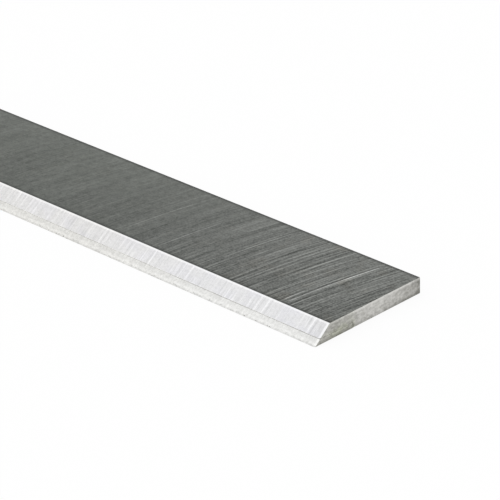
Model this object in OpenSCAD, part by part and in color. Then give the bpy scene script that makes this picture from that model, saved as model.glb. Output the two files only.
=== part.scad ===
// Laid planer knife: a ground steel bar with a hard cutting strip let into its flat face.
// The knife lies on its flat face. X runs along the knife, the cutting edge is at -Y, +Z is up,
// and the origin is the middle of the footprint.

/* [Bar] */
// Overall length, over the ends of the cutting strip
knife_len = 381; // [60:1:810]
// Width from the cutting edge to the back edge
knife_w = 25.4; // [20:0.1:60]
// Thickness
knife_t = 3; // [2.4:0.1:6]

/* [Bevel] */
// Angle between the bevel and the flat face, in degrees
bevel_angle = 40; // [30:1:50]
// Break along the top of the bevel
arris_break = 0.08; // [0.05:0.01:0.3]

/* [Cutting strip] */
// Thickness of the strip
strip_t = 1; // [0.8:0.1:1.6]
// Width of the strip, from the cutting edge to its back edge
strip_w = 8.9; // [6:0.1:14]
// Distance that each end of the strip stands out past the body
strip_proud = 0.04; // [0.02:0.01:0.4]

/* [Brazed joint] */
// Gap between the back edge of the strip and the wall of its rebate
joint_gap = 0.15; // [0.05:0.01:0.4]
// Width of the fine groove along the bevel where the joint comes out
groove_w = 0.08; // [0.04:0.01:0.3]

/* [Broken edges] */
// Break round each end of the body
end_break = 0.1; // [0.05:0.05:0.4]
// Break at each end of the strip
strip_break = 0.1; // [0.02:0.01:0.2]
// Radius along the two long back edges
back_round = 0.2; // [0.1:0.05:0.8]

/* [Hidden] */
// Segments in a full circle
arc_steps = 48;
// How far each cut runs out past the metal
cut_over = 1;
cutting_y = -knife_w / 2;
back_y = knife_w / 2;
bevel_run = knife_t / tan(bevel_angle);
arris_y = cutting_y + bevel_run;
body_len = knife_len - 2 * strip_proud;
rebate_w = strip_w + joint_gap;
// Back from the cutting edge to where the top of the strip meets the bevel
strip_nose = strip_t / tan(bevel_angle);
// Long enough to cut right across the end from any side
waste_len = 2 * (knife_w + knife_t);

// Outline of the whole knife across its length, before the rebate and the broken edges
module knife_section() {
    polygon([[cutting_y, 0], [back_y, 0], [back_y, knife_t], [arris_y, knife_t]]);
}

// What is taken off the corner at the origin to round it, for a corner that points to +X, +Y
module corner_waste(r) {
    difference() {
        translate([-r, -r]) square(r + cut_over);
        translate([-r, -r]) circle(r, $fn = arc_steps);
    }
}

// Flat cut across the arris: the line through points the same distance along both faces
module arris_waste() {
    along_bevel = arris_break * [cos(bevel_angle), sin(bevel_angle)];
    polygon([
        [arris_y + arris_break, knife_t],
        [arris_y, knife_t + cut_over],
        [arris_y - cut_over, knife_t],
        [arris_y, knife_t] - along_bevel
    ]);
}

// Rebate that holds the strip, open to the flat face and to the bevel
module rebate_waste() {
    translate([cutting_y - cut_over, -cut_over]) square([rebate_w + cut_over, strip_t + cut_over]);
}

// Square cut into the tip of the body above the strip, which leaves the groove along the joint
module groove_waste() {
    translate([cutting_y + strip_nose, strip_t])
        rotate(bevel_angle)
            translate([-cut_over, -cut_over]) square([groove_w + cut_over, 2 * cut_over]);
}

module body_section() {
    difference() {
        knife_section();
        rebate_waste();
        groove_waste();
        arris_waste();
        translate([back_y, knife_t]) corner_waste(back_round);
        translate([back_y, 0]) mirror([0, 1]) corner_waste(back_round);
    }
}

module strip_section() {
    polygon([
        [cutting_y, 0],
        [cutting_y + strip_w, 0],
        [cutting_y + strip_w, strip_t],
        [cutting_y + strip_nose, strip_t]
    ]);
}

// Extrudes an outline in Y and Z along X, about the middle
module along_knife(length) {
    rotate([90, 0, 90]) linear_extrude(length, center = true) children();
}

// Takes a break off the edges that one long face makes with both ends of a piece.
// The face passes through y, z, and tilt turns +Z about X to its outward normal.
module end_edge_waste(length, y, z, tilt, size) {
    for (side = [0, 1])
        mirror([side, 0, 0])
            translate([length / 2, y, z])
                rotate([tilt, 0, 0])
                    rotate([90, 0, 0])
                        linear_extrude(waste_len, center = true)
                            polygon([
                                [-size - cut_over, cut_over],
                                [cut_over, -size - cut_over],
                                [cut_over, cut_over]
                            ]);
}

module knife_body() {
    color([0.42, 0.43, 0.41])
        difference() {
            along_knife(body_len) body_section();
            end_edge_waste(body_len, 0, knife_t, 0, end_break);
            end_edge_waste(body_len, 0, 0, 180, end_break);
            end_edge_waste(body_len, back_y, 0, -90, end_break);
            end_edge_waste(body_len, cutting_y, 0, bevel_angle, end_break);
        }
}

module cutting_strip() {
    color([0.86, 0.86, 0.84])
        difference() {
            along_knife(knife_len) strip_section();
            end_edge_waste(knife_len, 0, 0, 180, strip_break);
            end_edge_waste(knife_len, cutting_y, 0, bevel_angle, strip_break);
        }
}

knife_body();
cutting_strip();
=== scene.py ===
import math

import bpy
import numpy as np
from mathutils import Matrix, Vector


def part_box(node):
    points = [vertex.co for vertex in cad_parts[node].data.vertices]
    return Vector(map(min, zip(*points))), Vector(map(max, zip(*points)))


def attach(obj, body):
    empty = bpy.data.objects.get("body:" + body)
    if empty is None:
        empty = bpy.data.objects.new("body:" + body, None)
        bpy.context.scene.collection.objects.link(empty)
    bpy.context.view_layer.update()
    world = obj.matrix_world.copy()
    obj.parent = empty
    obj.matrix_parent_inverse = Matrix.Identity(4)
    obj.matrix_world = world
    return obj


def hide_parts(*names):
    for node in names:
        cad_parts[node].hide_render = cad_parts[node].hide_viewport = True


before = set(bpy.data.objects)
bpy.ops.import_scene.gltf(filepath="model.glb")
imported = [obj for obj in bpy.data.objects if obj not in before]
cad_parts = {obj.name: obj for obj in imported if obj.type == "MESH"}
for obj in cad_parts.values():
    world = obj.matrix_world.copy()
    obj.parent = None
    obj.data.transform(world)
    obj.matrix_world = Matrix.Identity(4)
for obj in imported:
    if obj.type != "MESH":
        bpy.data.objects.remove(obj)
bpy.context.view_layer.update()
MM = 0.001

# The view: the near corner of the cutting edge lands on CORNER_PX of the 500 px photograph
PHOTO_PX = 500
CORNER_PX = (314.98, 347.64)
CORNER_DEPTH = 431.5 * MM
FOCAL_PX = 2701
CAMERA_AZIMUTH = math.radians(45.45)
CAMERA_ELEVATION = math.radians(26.33)
CAMERA_ROLL = math.radians(-1.71)
SENSOR_MM = 36

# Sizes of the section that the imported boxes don't give
BEVEL_ANGLE = math.radians(40)
REBATE_W = 9.05 * MM
GROOVE_W = 0.08 * MM
ARRIS_BREAK = 0.08 * MM
BACK_ROUND = 0.2 * MM
END_BREAK = 0.1 * MM
FINE_BREAK = 0.04 * MM
EDGE_BREAK = 0.015 * MM

body_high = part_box("knife_body")[1]
strip_low, strip_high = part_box("cutting_strip")
CUTTING_Y = strip_low.y
BACK_Y = body_high.y
STRIP_BACK_Y = strip_high.y
STRIP_T = strip_high.z
KNIFE_T = body_high.z
BODY_END_X = body_high.x
STRIP_END_X = strip_high.x
ARRIS_Y = CUTTING_Y + KNIFE_T / math.tan(BEVEL_ANGLE)
NOSE_Y = CUTTING_Y + STRIP_T / math.tan(BEVEL_ANGLE)
WALL_Y = CUTTING_Y + REBATE_W

# Each piece across the knife, anticlockwise. A row gives a point, its break, and the kinds of face of the
# corner and of the side after it.
BODY_SECTION = [
    ((WALL_Y, 0), FINE_BREAK, "flat", "flat"),
    ((BACK_Y, 0), BACK_ROUND, "back", "back"),
    ((BACK_Y, KNIFE_T), BACK_ROUND, "top", "top"),
    ((ARRIS_Y, KNIFE_T), ARRIS_BREAK, "arris", "bevel"),
    ((NOSE_Y, STRIP_T), GROOVE_W, "seam", "joint"),
    ((WALL_Y, STRIP_T), FINE_BREAK, "joint", "joint"),
]
STRIP_SECTION = [
    ((CUTTING_Y, 0), EDGE_BREAK, "bevel", "flat"),
    ((STRIP_BACK_Y, 0), FINE_BREAK, "flat", "joint"),
    ((STRIP_BACK_Y, STRIP_T), EDGE_BREAK, "joint", "joint"),
    ((NOSE_Y, STRIP_T), EDGE_BREAK, "seam", "bevel"),
]

# Nicks in the cutting edge: the distance from the near end and the depth, both in millimetres
SEEN_NICKS = [
    (10.3, 0.28), (10.8, 0.24), (13.4, 0.27), (16.0, 0.28), (35.8, 0.20), (36.6, 0.18), (38.0, 0.16),
    (48.3, 0.18), (59.4, 0.18), (60.4, 0.34), (62.2, 0.18), (64.3, 0.16),
]
# Where the photograph doesn't show the edge, the nicks are made up
FURTHER_COUNT = 40
FURTHER_REACH = (72, 376)
FURTHER_DEPTHS = (0.08, 0.2)
luck = np.random.default_rng(11)
further_places = np.sort(luck.uniform(*FURTHER_REACH, FURTHER_COUNT))
FURTHER_NICKS = list(zip(further_places, luck.uniform(*FURTHER_DEPTHS, FURTHER_COUNT)))
NICK_HALF_WIDTH = 0.17 * MM
CHIP_HALF_WIDTH = 0.25 * MM
CHIP_DEPTH = 0.1 * MM
# The rows of the sections that lose these nicks and chips
EDGE_CORNER = 0
NOSE_CORNER = 4
EDGE_NICKS = [
    (EDGE_CORNER, STRIP_END_X - from_end * MM, NICK_HALF_WIDTH, depth * MM)
    for from_end, depth in SEEN_NICKS + FURTHER_NICKS
]
# Where the tip of the body over the strip is chipped at its ends
NOSE_CHIPS = [(NOSE_CORNER, side * BODY_END_X, CHIP_HALF_WIDTH, CHIP_DEPTH) for side in (-1, 1)]


# Meshes: a section with broken corners, swept along the knife

CORNER_STEPS = 4
END_STEPS = 4
# Of the steps round an end, this many outer ones look like the end, and the others like the side
OUTER_STEPS = 2
# The share of its break that a corner loses on the way round an end
BREAK_LOST = 0.7
# The space round each patch of the map, and the widest strip of it that a hidden face gets
MAP_GAP = 0.6 * MM
MAP_HIDDEN = 0.3 * MM


def inset(points, amounts):
    """Moves each edge of an anticlockwise outline inwards. Edge i runs from point i to the next one."""
    count = len(points)
    lines = []
    for i in range(count):
        start, stop = points[i], points[(i + 1) % count]
        along = (stop - start) / np.linalg.norm(stop - start)
        inward = np.array([-along[1], along[0]])
        lines.append((inward, inward @ start + amounts[i]))
    moved = []
    for i in range(count):
        (n0, d0), (n1, d1) = lines[i - 1], lines[i]
        moved.append(np.linalg.solve(np.array([n0, n1]), np.array([d0, d1])))
    return moved


def broken(points, breaks):
    """Rounds each corner from its break before it to its break after it. Returns places and normals."""
    count = len(points)
    places, normals = [], []
    for i in range(count):
        corner, before, after = points[i], points[i - 1], points[(i + 1) % count]
        to_before = (before - corner) / np.linalg.norm(before - corner)
        to_after = (after - corner) / np.linalg.norm(after - corner)
        start, stop = corner + breaks[i] * to_before, corner + breaks[i] * to_after
        for u in np.linspace(0, 1, CORNER_STEPS + 1):
            places.append((1 - u) ** 2 * start + 2 * u * (1 - u) * corner + u**2 * stop)
            tangent = (1 - u) * (corner - start) + u * (stop - corner)
            tangent = tangent / np.linalg.norm(tangent)
            normals.append((tangent[1], -tangent[0]))
    return np.array(places), np.array(normals)


def stations(half, pitch, parts, nicks):
    """Places along X, and the bounds of the equal parts that the map is cut into.

    Each part is cut into a whole number of steps, and each nick adds up to three places of its own.
    """
    bounds = np.linspace(-half, half, parts + 1)
    steps = parts * math.ceil(2 * half / (parts * pitch))
    apart = pitch / 8
    marks = [x + k * wide for _, x, wide, _ in nicks for k in (-1, 0, 1)]
    marks = [m for m in marks if abs(m) < half - apart and np.abs(bounds - m).min() > apart]
    plain = np.linspace(-half, half, steps + 1)
    kept = [x for x in plain if not marks or np.abs(np.array(marks) - x).min() > apart]
    return np.unique(np.concatenate([kept, marks, bounds]).round(9)), bounds


def corner_cuts(section, x, nicks):
    """How much more than its break each corner has lost at a place along the knife."""
    cuts = [0.0] * len(section)
    for corner, middle, wide, depth in nicks:
        cuts[corner] = max(cuts[corner], depth * (1 - abs(x - middle) / wide))
    return cuts


def map_places(runs, quad_parts, widths, parts, caps):
    """Where all corners lie on a map that has each part of the length in a row, and both caps after them."""
    across = np.concatenate([[0], np.cumsum(widths)])
    row = across[-1] + MAP_GAP
    starts = np.array([runs[:-1][quad_parts == p].min() for p in range(parts)])
    u0 = runs[:-1] - starts[quad_parts] + MAP_GAP
    u1 = runs[1:] - starts[quad_parts] + MAP_GAP
    level = quad_parts * row + MAP_GAP / 2
    shape = (len(quad_parts), len(widths))
    u0, u1 = np.broadcast_to(u0[:, None], shape), np.broadcast_to(u1[:, None], shape)
    v0, v1 = level[:, None] + across[None, :-1], level[:, None] + across[None, 1:]
    corners = ((u0, v0), (u0, v1), (u1, v1), (u1, v0))
    quads = np.stack([np.stack(corner, -1) for corner in corners], 2)
    first, last = caps
    low, high = last.min(0), last.max(0)
    base = parts * row + MAP_GAP / 2
    near = np.column_stack([first[:, 0] - low[0] + MAP_GAP, base + first[:, 1] - low[1]])
    far = np.column_stack([last[:, 0] - 2 * low[0] + high[0] + 2 * MAP_GAP, base + high[1] - last[:, 1]])
    flat = np.concatenate([quads.reshape(-1, 2), near, far])
    whole = np.array([flat[:, 0].max() + MAP_GAP, base + high[1] - low[1] + MAP_GAP])
    return np.array([0, 1]) + np.array([1, -1]) * flat / whole


def swept(name, section, end_x, pitch, parts, nicks, slots, bevel_end):
    """Sweeps a section along X and rounds both ends.

    slots gives the material of each kind of face, and bevel_end the kind that the bevel is where it rounds.
    """
    points = [np.array(row[0]) for row in section]
    end_amounts = [EDGE_BREAK if row[3] == "joint" else END_BREAK for row in section]
    middle, bounds = stations(end_x - END_BREAK, pitch, parts, nicks)
    turns = np.linspace(0, math.pi / 2, END_STEPS + 1)
    rings = [(-end_x + END_BREAK * (1 - math.sin(t)), -t) for t in turns[:0:-1]]
    rings += [(x, 0) for x in middle]
    rings += [(end_x - END_BREAK * (1 - math.sin(t)), t) for t in turns[1:]]
    places, normals, cuts = [], [], []
    for x, turn in rings:
        depth = 1 - math.cos(turn)
        cut = corner_cuts(section, x, nicks)
        sharp = inset(points, [depth * a for a in end_amounts])
        left = 1 - BREAK_LOST * depth
        breaks = [max(row[1] * left, EDGE_BREAK) + lost for row, lost in zip(section, cut)]
        ring, out = broken(sharp, breaks)
        places.append(np.column_stack([np.full(len(ring), x), ring]))
        normals.append(np.column_stack([np.full(len(ring), math.sin(turn)), out * math.cos(turn)]))
        cuts.append(cut)
    size, count = len(places[0]), len(rings)
    first = np.arange(count - 1)[:, None] * size
    here = np.arange(size)[None, :]
    after = (here + 1) % size
    quads = np.stack([first + here, first + after, first + size + after, first + size + here], -1)
    faces = quads.reshape(-1, 4).tolist()
    faces.append(list(range(size))[::-1])
    faces.append(list(range((count - 1) * size, count * size)))
    mesh = bpy.data.meshes.new(name)
    mesh.from_pydata(np.concatenate(places).tolist(), [], faces)
    mesh.shade_smooth()
    mesh.normals_split_custom_set_from_vertices(np.concatenate(normals).tolist())

    steps = CORNER_STEPS + 1
    kinds = [section[i // steps][3 if i % steps == CORNER_STEPS else 2] for i in range(size)]
    names = list(slots)
    index = []
    for r in range(count - 1):
        outer = r < OUTER_STEPS or r >= count - 1 - OUTER_STEPS
        at_end = r < END_STEPS or r >= count - 1 - END_STEPS
        for i, kind in enumerate(kinds):
            corner = i // steps
            if i % steps < CORNER_STEPS and max(cuts[r][corner], cuts[r + 1][corner]) > 0:
                kind = "nick"
            elif kind != "seam" and outer:
                kind = "end"
            elif kind in ("bevel", "arris") and at_end:
                kind = bevel_end
            index.append(names.index(kind))
    index += [names.index("end")] * 2
    for material in slots.values():
        mesh.materials.append(material)
    mesh.polygons.foreach_set("material_index", np.array(index, np.int32))

    ring = places[count // 2][:, 1:]
    widths = np.linalg.norm(np.roll(ring, -1, 0) - ring, axis=1)
    widths = [min(w, MAP_HIDDEN) if kind == "joint" else w for w, kind in zip(widths, kinds)]
    xs = np.array([x for x, _ in rings])
    depths = np.array([1 - math.cos(turn) for _, turn in rings]) * END_BREAK
    runs = np.concatenate([[0], np.cumsum(np.hypot(np.diff(xs), np.diff(depths)))])
    quad_parts = np.clip(np.searchsorted(bounds, (xs[:-1] + xs[1:]) / 2) - 1, 0, parts - 1)
    laid = map_places(runs, quad_parts, widths, parts, (places[0][::-1, 1:], places[-1][:, 1:]))
    mesh.uv_layers.new(name="OFBake").data.foreach_set("uv", laid.astype(np.float32).ravel())
    mesh.update()
    piece = bpy.data.objects.new(name, mesh)
    bpy.context.scene.collection.objects.link(piece)
    return piece


# Materials: every pattern is made from the place on the knife, in metres

GRID_TURN = (math.radians(35), math.radians(28), math.radians(50))
NOISE_ROUGHNESS = 0.55
# The sockets of a mix node that are about colours
MIX_FACTOR, MIX_A, MIX_B = 0, 6, 7
MIX_RESULT = 2


class Graph:
    """One material's nodes. Values are numbers or sockets."""

    def __init__(self, name):
        self.material = bpy.data.materials.new(name)
        self.material.use_nodes = True
        self.tree = self.material.node_tree
        self.tree.nodes.clear()
        self.place = self.node("ShaderNodeTexCoord").outputs["Object"]
        parts = self.node("ShaderNodeSeparateXYZ", {"Vector": self.place}).outputs
        self.x, self.y, self.z = parts["X"], parts["Y"], parts["Z"]
        self.lay = self.place

    def lay_arcs(self, radius):
        """Bends the stretched marks from here on into arcs that bulge towards -X."""
        bent = self.math("SUBTRACT", self.x, self.times(self.times(self.y, self.y), 0.5 / radius))
        self.lay = self.node("ShaderNodeCombineXYZ", {"X": bent, "Y": self.y}).outputs["Vector"]
        return bent

    def node(self, kind, inputs=None, **settings):
        made = self.tree.nodes.new(kind)
        for key, value in settings.items():
            setattr(made, key, value)
        for key, value in (inputs or {}).items():
            socket = made.inputs[key]
            if isinstance(value, bpy.types.NodeSocket):
                self.tree.links.new(value, socket)
            else:
                socket.default_value = value
        return made

    def math(self, operation, a, b=0.0):
        return self.node("ShaderNodeMath", {0: a, 1: b}, operation=operation).outputs[0]

    def add(self, *values):
        total = values[0]
        for value in values[1:]:
            total = self.math("ADD", total, value)
        return total

    def times(self, a, b):
        return self.math("MULTIPLY", a, b)

    def span(self, value, low, high, to_low=0.0, to_high=1.0):
        """Runs smoothly from to_low to to_high as value goes from low to high."""
        return self.node(
            "ShaderNodeMapRange",
            {"Value": value, "From Min": low, "From Max": high, "To Min": to_low, "To Max": to_high},
            interpolation_type="SMOOTHSTEP",
        ).outputs["Result"]

    def noise(self, place, shift, turn, sizes, detail, dimensions):
        """Noise about 0 at a place that is moved, turned and scaled."""
        inputs = {"Vector": place, "Location": shift, "Rotation": turn, "Scale": sizes}
        laid = self.node("ShaderNodeMapping", inputs, vector_type="TEXTURE").outputs["Vector"]
        inputs = {"Vector": laid, "Scale": 1.0, "Detail": detail, "Roughness": NOISE_ROUGHNESS}
        made = self.node("ShaderNodeTexNoise", inputs, noise_dimensions=dimensions)
        return self.math("SUBTRACT", made.outputs[0], 0.5)

    def stretched(self, across, along, tilt=0.0, shift=0.0, detail=2.0):
        """Noise whose marks are so wide along X and so long along Y of the lay, turned by tilt."""
        return self.noise(self.lay, (shift, shift, 0), (0, 0, -tilt), (across, along, 1), detail, "2D")

    def mottle(self, size, shift=0.0, detail=2.0, longer=1.0):
        """Noise with round marks of that size, or longer ones along Y.

        Round marks are turned, because the noise's own grid would show in faces that lie along it.
        """
        turn = GRID_TURN if longer == 1.0 else (0, 0, 0)
        sizes = (size, size * longer, size)
        return self.noise(self.place, (shift, shift, shift), turn, sizes, detail, "3D")

    def mix(self, factor, a, b, blend="MIX"):
        made = self.node("ShaderNodeMix", data_type="RGBA", blend_type=blend, clamp_factor=True)
        for index, value in ((MIX_FACTOR, factor), (MIX_A, a), (MIX_B, b)):
            socket = made.inputs[index]
            if isinstance(value, bpy.types.NodeSocket):
                self.tree.links.new(value, socket)
            else:
                socket.default_value = value
        return made.outputs[MIX_RESULT]

    def steel(self, colour, roughness, height, bump, anisotropy=0.0):
        """Ends the material in metal, with relief that is bump metres high where height is 1."""
        relief = self.node("ShaderNodeBump", {"Height": height, "Strength": 1.0, "Distance": bump})
        inputs = {
            "Base Color": colour,
            "Roughness": roughness,
            "Normal": relief.outputs["Normal"],
            "Metallic": 1.0,
            "Anisotropic": anisotropy,
        }
        shader = self.node("ShaderNodeBsdfPrincipled", inputs)
        out = self.node("ShaderNodeOutputMaterial")
        self.tree.links.new(shader.outputs[0], out.inputs["Surface"])
        return self.material


def shade(red, green, blue):
    """A colour as the screen shows it, 0 to 255, as the linear values that a shader takes."""
    parts = [v / 255 for v in (red, green, blue)]
    return tuple(v / 12.92 if v <= 0.04045 else ((v + 0.055) / 1.055) ** 2.4 for v in parts) + (1.0,)


# Tints that are multiplied with a face's own colour
BORDER_TINT = shade(175, 175, 175)
WARM_TINT = shade(250, 238, 226)
GREEN_TINT = shade(249, 255, 247)
COOL_TINT = shade(253, 253, 255)
IVORY_TINT = shade(255, 254, 252)
STAIN_TINT = shade(249, 252, 240)
# Colours that take the place of a face's own, and the two that the ends are mixed from
# Painted glint that brightens the scratches on the top
SCRATCH_GLINT = shade(238, 239, 237)
# Painted dark reflection on the upper half of the arris round, in the top face's tone
RIM_DARK_REFLECTION = shade(96, 98, 94)
END_DARK = shade(128, 127, 121)
END_PALE = shade(217, 216, 212)

# The grinding marks cross the flat faces as arcs, with this lean and radius at the middle of the width
GRIND_TILT = math.radians(8.6)
GRIND_RADIUS = 140 * MM
BEVEL_TILT = math.radians(5.4)
# Long scratches on the top, in millimetres: how far from the near end the mark crosses the middle of the
# width, where it starts and stops from the cutting edge, its half width, and how bright its painted glint is
# (0 to 1)
SCRATCHES = [
    (9.25, 4.4, 24.5, 0.12, 0.46),
    (9.25, 15.0, 23.5, 0.10, 0.34),
    (10.3, 4.4, 9.5, 0.11, 0.45),
    (13.3, 4.0, 22.0, 0.10, 0.14),
    (20.4, 5.0, 16.0, 0.10, 0.14),
    (40.0, 5.0, 18.0, 0.12, 0.16),
    (29.0, 9.0, 24.0, 0.10, 0.12),
    (49.5, 6.0, 21.0, 0.12, 0.12),
    (3.2, 8.0, 21.0, 0.10, 0.12),
]


def from_end(g):
    """Distance from the nearer end of the knife."""
    return g.math("SUBTRACT", BODY_END_X, g.math("ABSOLUTE", g.x))


def cross_ground(name, dark, pale, base, contrast=0.8, scratched=False):
    """Flat faces: dull grinding marks across the knife, crisp at the ends and softer towards the middle.

    base is about the share of pale colour, and contrast goes for all the marks. The scratched face, which
    the photograph shows, also has scratches painted bright as glints, and darker borders.
    """
    g = Graph(name)
    bent = g.lay_arcs(GRIND_RADIUS)
    away = from_end(g)
    crisp = g.span(away, 12 * MM, 45 * MM, 1.0, 0.18)
    soft = g.span(away, 10 * MM, 62 * MM)
    hair = g.stretched(0.38 * MM, 14 * MM, GRIND_TILT + 0.02, shift=0.023, detail=0.0)
    fine = g.stretched(0.50 * MM, 24 * MM, GRIND_TILT - 0.01, shift=0.037, detail=0.0)
    glint = g.stretched(0.36 * MM, 14 * MM, GRIND_TILT, shift=0.033, detail=0.0)
    middle = g.stretched(1.1 * MM, 45 * MM, GRIND_TILT, shift=0.027, detail=1.0)
    broad = g.stretched(4 * MM, 70 * MM, GRIND_TILT, shift=0.041, detail=1.0)
    grain = g.mottle(0.34 * MM, shift=0.2, detail=1.0)
    patch = g.mottle(1.1 * MM, shift=0.35)
    cloud = g.mottle(3.6 * MM, shift=0.2, detail=1.0)
    crisp_marks = g.add(g.times(hair, 0.50 * contrast), g.span(glint, 0.08, 0.30, 0.0, 0.30 * contrast))
    level = g.add(
        base,
        g.times(crisp_marks, crisp),
        g.times(fine, g.span(away, 30 * MM, 64 * MM, 0.26 * contrast, 0.05 * contrast)),
        g.times(grain, g.span(away, 5 * MM, 64 * MM, 0.72 * contrast, 0.26 * contrast)),
        g.times(patch, 0.28 * contrast),
        g.times(middle, g.times(soft, 0.24 * contrast)),
        g.times(broad, g.times(soft, 0.12 * contrast)),
        g.times(cloud, 0.06 * contrast),
    )
    if scratched:
        # Paler towards the back and towards the end: a painted gradient of reflected light
        level = g.add(
            level,
            g.span(g.y, ARRIS_Y, BACK_Y, -0.07, 0.04),
            g.span(away, 0.0, 80 * MM, 0.025, -0.045),
        )
    colour = g.mix(level, dark, pale)
    if scratched:
        borders = g.add(
            g.span(g.y, ARRIS_Y + 0.1 * MM, ARRIS_Y + 0.9 * MM, 1.0, 0.0),
            g.span(g.y, BACK_Y - 1.0 * MM, BACK_Y - 0.25 * MM),
        )
        colour = g.mix(borders, colour, BORDER_TINT, "MULTIPLY")
        # Scratches painted bright, as glints along the scratch marks
        across = g.add(bent, g.times(g.y, -math.tan(GRIND_TILT)))
        scratch_glints = 0.0
        for crossing, start, stop, half, strength in SCRATCHES:
            off = g.math("ABSOLUTE", g.math("SUBTRACT", across, BODY_END_X - crossing * MM))
            run = g.times(
                g.span(g.y, CUTTING_Y + start * MM, CUTTING_Y + (start + 1) * MM),
                g.span(g.y, CUTTING_Y + (stop - 1.5) * MM, CUTTING_Y + stop * MM, 1.0, 0.0),
            )
            scratch_glints = g.add(scratch_glints, g.times(g.span(off, 0.3 * half * MM, half * MM, strength, 0.0), run))
        broken_up = g.span(patch, -0.12, 0.12, 0.85, 1.2)
        colour = g.mix(g.times(scratch_glints, broken_up), colour, SCRATCH_GLINT)
    tint = g.times(g.span(g.mottle(4 * MM, shift=0.7), 0.0, 0.25, 0.0, 0.35), crisp)
    colour = g.mix(tint, colour, WARM_TINT, "MULTIPLY")
    colour = g.mix(g.span(away, 20 * MM, 80 * MM, 0.0, 0.5), colour, GREEN_TINT, "MULTIPLY")
    rough = g.add(0.42, g.times(middle, 0.3), g.times(cloud, 0.15))
    return g.steel(colour, rough, g.add(fine, g.times(middle, 0.8)), bump=0.004 * MM, anisotropy=0.4)


def bright_ground(name, dark, pale, warm=False, painted_dark_rim=False):
    """The bevel: bright, partly finish and partly painted reflection, with fine lines from the edge up to the
    arris, and a pale band along each border, painted highlights at the arris and the end.
    """
    g = Graph(name)
    away = from_end(g)
    up = g.times(g.z, 1 / KNIFE_T)
    lines = g.stretched(0.56 * MM, 30 * MM, BEVEL_TILT, shift=0.063, detail=1.0)
    broad = g.stretched(5 * MM, 40 * MM, 0.0, shift=0.067, detail=1.0)
    cloud = g.mottle(1.3 * MM, shift=0.3)
    specks = g.mottle(0.42 * MM, shift=0.9, detail=1.0)
    patchy = g.span(g.mottle(4 * MM, shift=0.55, detail=1.0), -0.14, 0.14, 0.4, 1.6)
    marks = g.add(
        g.times(g.times(lines, 0.26 if warm else 0.66), patchy),
        g.times(g.span(lines, 0.10, 0.26, 0.0, 0.05 if warm else 0.12), patchy),
        g.times(broad, 0.07),
        g.times(cloud, 0.48 if warm else 0.30),
        g.times(specks, 0.95 if warm else 0.52),
    )
    # Along the arris, along the cutting edge, along the end, a darker zone behind that, and a slow fall
    borders = g.add(
        # painted highlight along the arris
        g.span(up, 0.91, 0.96, 0.0, 0.44),
        g.times(g.span(up, 0.04, 0.09, -0.10, 0.20), g.span(up, 0.12, 0.20, 1.0, 0.0)),
        # painted highlight where the end break catches light
        g.span(away, 0.3 * MM, 0.55 * MM, 0.58, 0.0),
        g.span(away, 1.5 * MM, 3.5 * MM, -0.14, 0.0),
        g.span(away, 0.0, 75 * MM, 0.03, -0.08 if warm else -0.02),
    )
    if warm:
        pits = g.span(g.mottle(0.42 * MM, shift=1.3, detail=1.0), 0.06, 0.2, 0.0, -0.8)
        marks = g.add(marks, g.times(pits, g.span(up, 0.04, 0.14, 1.0, 0.0)))
    colour = g.mix(g.add(0.5, marks, borders), dark, pale)
    if not warm:
        cool = g.span(g.mottle(4 * MM, shift=0.75, detail=1.0), -0.06, 0.12)
        colour = g.mix(cool, colour, COOL_TINT, "MULTIPLY")
    colour = g.mix(g.span(away, 15 * MM, 66 * MM), colour, IVORY_TINT, "MULTIPLY")
    if painted_dark_rim:
        # The upper half of the arris round takes the top face's tone, a painted dark reflection
        colour = g.mix(g.span(g.z, KNIFE_T - 0.02 * MM, KNIFE_T), colour, RIM_DARK_REFLECTION)
    rough = g.add(0.3, g.times(lines, 0.2), g.times(cloud, 0.15))
    return g.steel(colour, rough, g.add(lines, g.times(specks, 0.5)), bump=0.003 * MM, anisotropy=0.3)


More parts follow.
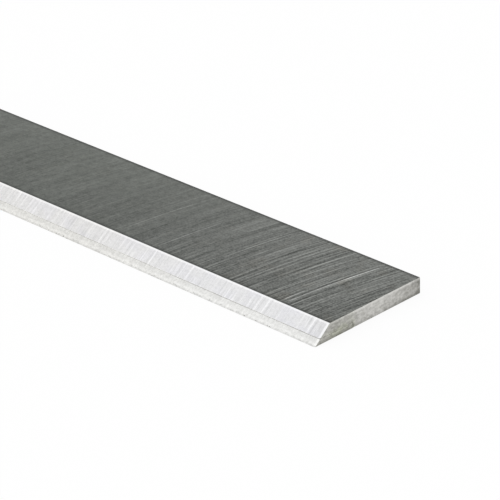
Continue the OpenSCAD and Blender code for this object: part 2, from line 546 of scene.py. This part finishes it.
def end_ground(name):
    """The ends: mottled, palest in the middle and along the top, with painted highlight along the top edge,
    painted shadow at the foot, and faint braze stain round the strip.
    """
    g = Graph(name)
    cloud = g.mottle(1.5 * MM, shift=0.4)
    grain = g.mottle(0.5 * MM, shift=0.5, detail=2.0, longer=1.7)
    strip_zone = g.span(g.y, STRIP_BACK_Y - 0.3 * MM, STRIP_BACK_Y + 1.2 * MM, 1.0, 0.0)
    # After the mottle come four zones from the cutting edge to the back, the foot, darker as painted shadow,
    # the upper half, the top border, paler as a painted highlight, and the back border
    level = g.add(
        0.66,
        g.times(cloud, 0.50),
        g.times(grain, 1.35),
        g.span(g.y, CUTTING_Y + 2 * MM, CUTTING_Y + 5 * MM, 0.0, -0.09),
        g.times(strip_zone, -0.08),
        g.span(g.y, CUTTING_Y + 8.5 * MM, CUTTING_Y + 12 * MM, 0.0, 0.14),
        g.span(g.y, CUTTING_Y + 16 * MM, CUTTING_Y + 24 * MM, 0.0, -0.30),
        # painted shadow along the foot
        g.span(g.z, 0.0, 1.0 * MM, -0.39, 0.0),
        g.times(
            g.span(g.z, 1.2 * MM, 1.8 * MM),
            g.span(g.y, CUTTING_Y + 5 * MM, CUTTING_Y + 9 * MM, -0.07, 0.04),
        ),
        # painted highlight along the top edge
        g.times(
            g.span(g.z, KNIFE_T - 0.5 * MM, KNIFE_T - 0.15 * MM, 0.0, 0.38),
            g.span(g.y, CUTTING_Y + 3 * MM, CUTTING_Y + 5 * MM, 0.55, 1.0),
        ),
        g.span(g.y, BACK_Y - 1.8 * MM, BACK_Y - 0.2 * MM, 0.0, -0.22),
    )
    colour = g.mix(level, END_DARK, END_PALE)
    patches = g.span(cloud, -0.14, 0.1, 0.35, 1.0)
    low = g.span(g.z, STRIP_T + 0.2 * MM, STRIP_T + 1.0 * MM, 1.0, 0.25)
    behind_nose = g.span(g.y, CUTTING_Y + 2 * MM, CUTTING_Y + 5 * MM, 0.3, 1.0)
    stain = g.times(g.times(strip_zone, behind_nose), g.times(low, patches))
    colour = g.mix(stain, colour, STAIN_TINT, "MULTIPLY")
    rough = g.add(0.48, g.times(grain, 0.35))
    return g.steel(colour, rough, g.add(cloud, g.times(grain, 0.7)), bump=0.02 * MM)


def braze_and_shade(name, dark, pale):
    """Where the joint comes out: dull braze and flux, also painted shade in the gap, darkest near the ends.
    The nicks use it as painted shade.
    """
    g = Graph(name)
    cloud = g.mottle(0.9 * MM, shift=0.6, detail=3.0)
    runs = g.stretched(7 * MM, 60 * MM, 0.0, shift=0.081)
    away = from_end(g)
    level = g.add(
        g.span(away, 2 * MM, 11 * MM, 0.30, 0.78),
        g.span(away, 20 * MM, 50 * MM, 0.0, 0.10),
        g.times(cloud, 0.9),
        g.times(runs, 1.2),
    )
    rough = g.add(0.55, g.times(cloud, 0.3))
    return g.steel(g.mix(level, dark, pale), rough, cloud, bump=0.02 * MM)


# Base colours partly finish, partly painted reflection: the flat faces dark, the bevels pale
BODY_SLOTS = {
    "top": cross_ground(
        "body_top_ground", shade(56, 59, 55), shade(172, 174, 170), base=0.27, contrast=1.0, scratched=True
    ),
    "flat": cross_ground("body_flat_ground", shade(60, 62, 58), shade(176, 178, 174), base=0.34),
    "back": cross_ground("body_back_ground", shade(64, 66, 62), shade(178, 180, 176), base=0.36),
    "bevel": bright_ground("body_bevel_ground", shade(203, 203, 204), shade(251, 251, 252)),
    # The arris's pale colours are a painted highlight on the edge break
    "arris": bright_ground("body_arris_highlight_and_rim", shade(232, 234, 233), shade(251, 252, 251), painted_dark_rim=True),
    "end": end_ground("body_end_ground"),
    "seam": braze_and_shade("joint_seam", shade(156, 154, 148), shade(246, 245, 241)),
    # The gap's faces: braze and flux, and painted shade that darkens the gap
    "joint": braze_and_shade("joint_braze_and_shade", shade(52, 50, 44), shade(112, 108, 94)),
    # Nicks and chips painted dark, as shade in the notches
    "nick": braze_and_shade("edge_nick_shade", shade(96, 95, 90), shade(160, 158, 152)),
}
STRIP_SLOTS = {
    "bevel": bright_ground("strip_bevel_ground", shade(203, 203, 201), shade(251, 251, 249), warm=True),
    "flat": cross_ground("strip_flat_ground", shade(116, 116, 112), shade(206, 206, 202), base=0.45),
    "end": BODY_SLOTS["end"],
    "seam": BODY_SLOTS["seam"],
    "joint": BODY_SLOTS["joint"],
    "nick": BODY_SLOTS["nick"],
}

# The step along the knife, and the number of parts that the map is cut into
BODY_PITCH = 1.0 * MM
BODY_PARTS = 3
STRIP_PITCH = 0.6 * MM
STRIP_PARTS = 5
body = swept(
    "body_ground", BODY_SECTION, BODY_END_X, BODY_PITCH, BODY_PARTS, NOSE_CHIPS, BODY_SLOTS, "arris"
)
strip = swept(
    "strip_ground", STRIP_SECTION, STRIP_END_X, STRIP_PITCH, STRIP_PARTS, EDGE_NICKS, STRIP_SLOTS, "bevel"
)
for piece, node, slot in ((body, "knife_body", "body_steel"), (strip, "cutting_strip", "strip_steel")):
    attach(piece, "root")
    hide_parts(node)


# Floor, light and camera

FLOOR_HALF = 3.0
FLOOR_DROP = 0.02 * MM
FLOOR_PAINT = (0.97, 0.97, 0.97, 1)
WHITE = (1, 1, 1, 1)
SHADOW_SHARE = 0.10
CLIP_START = 10 * MM


def white_floor():
    """White to the camera and to what mirrors it, with a faint share of plain floor that takes the shadow."""
    mesh = bpy.data.meshes.new("floor")
    corners = [(x * FLOOR_HALF, y * FLOOR_HALF, 0) for x, y in ((-1, -1), (1, -1), (1, 1), (-1, 1))]
    mesh.from_pydata(corners, [], [(0, 1, 2, 3)])
    floor = bpy.data.objects.new("floor", mesh)
    floor.location.z = -FLOOR_DROP
    bpy.context.scene.collection.objects.link(floor)
    g = Graph("floor_white")
    path = g.node("ShaderNodeLightPath").outputs
    mirrored = g.math("MAXIMUM", path["Is Glossy Ray"], path["Is Transmission Ray"])
    seen = g.math("MAXIMUM", path["Is Camera Ray"], mirrored)
    plain = g.node("ShaderNodeBsdfDiffuse", {"Color": FLOOR_PAINT}).outputs[0]
    glow = g.node("ShaderNodeEmission", {"Color": WHITE, "Strength": 1.0}).outputs[0]
    shown = g.node("ShaderNodeMixShader", {0: g.times(seen, 1 - SHADOW_SHARE), 1: plain, 2: glow}).outputs[0]
    clear = g.node("ShaderNodeBsdfTransparent").outputs[0]
    below = g.node("ShaderNodeNewGeometry").outputs["Backfacing"]
    both = g.node("ShaderNodeMixShader", {0: below, 1: shown, 2: clear}).outputs[0]
    out = g.node("ShaderNodeOutputMaterial")
    g.tree.links.new(both, out.inputs["Surface"])
    mesh.materials.append(g.material)


def soft_world():
    world = bpy.data.worlds.new("studio")
    bpy.context.scene.world = world
    world.use_nodes = True
    background = world.node_tree.nodes["Background"].inputs
    background["Color"].default_value = WHITE
    background["Strength"].default_value = 1.0


def photo_camera():
    """Stands where the photograph was taken from, going by the near corner of the cutting edge."""
    a, e, roll = CAMERA_AZIMUTH, CAMERA_ELEVATION, CAMERA_ROLL
    back = Vector((math.sin(a) * math.cos(e), -math.cos(a) * math.cos(e), math.sin(e)))
    level = Vector((math.cos(a), math.sin(a), 0))
    upright = back.cross(level)
    right = math.cos(roll) * level + math.sin(roll) * upright
    up = math.cos(roll) * upright - math.sin(roll) * level
    corner = Vector((STRIP_END_X, CUTTING_Y, 0))
    px_size = CORNER_DEPTH / FOCAL_PX
    aside, above = CORNER_PX[0] - PHOTO_PX / 2, PHOTO_PX / 2 - CORNER_PX[1]
    spot = corner + back * CORNER_DEPTH - right * aside * px_size - up * above * px_size
    data = bpy.data.cameras.new("camera")
    data.sensor_width = SENSOR_MM
    data.lens = SENSOR_MM * FOCAL_PX / PHOTO_PX
    data.clip_start = CLIP_START
    camera = bpy.data.objects.new("camera", data)
    rows = [(right[i], up[i], back[i], spot[i]) for i in range(3)]
    camera.matrix_world = Matrix(rows + [(0, 0, 0, 1)])
    bpy.context.scene.collection.objects.link(camera)
    bpy.context.scene.camera = camera


white_floor()
soft_world()
photo_camera()
bpy.context.scene.view_settings.view_transform = "Standard"
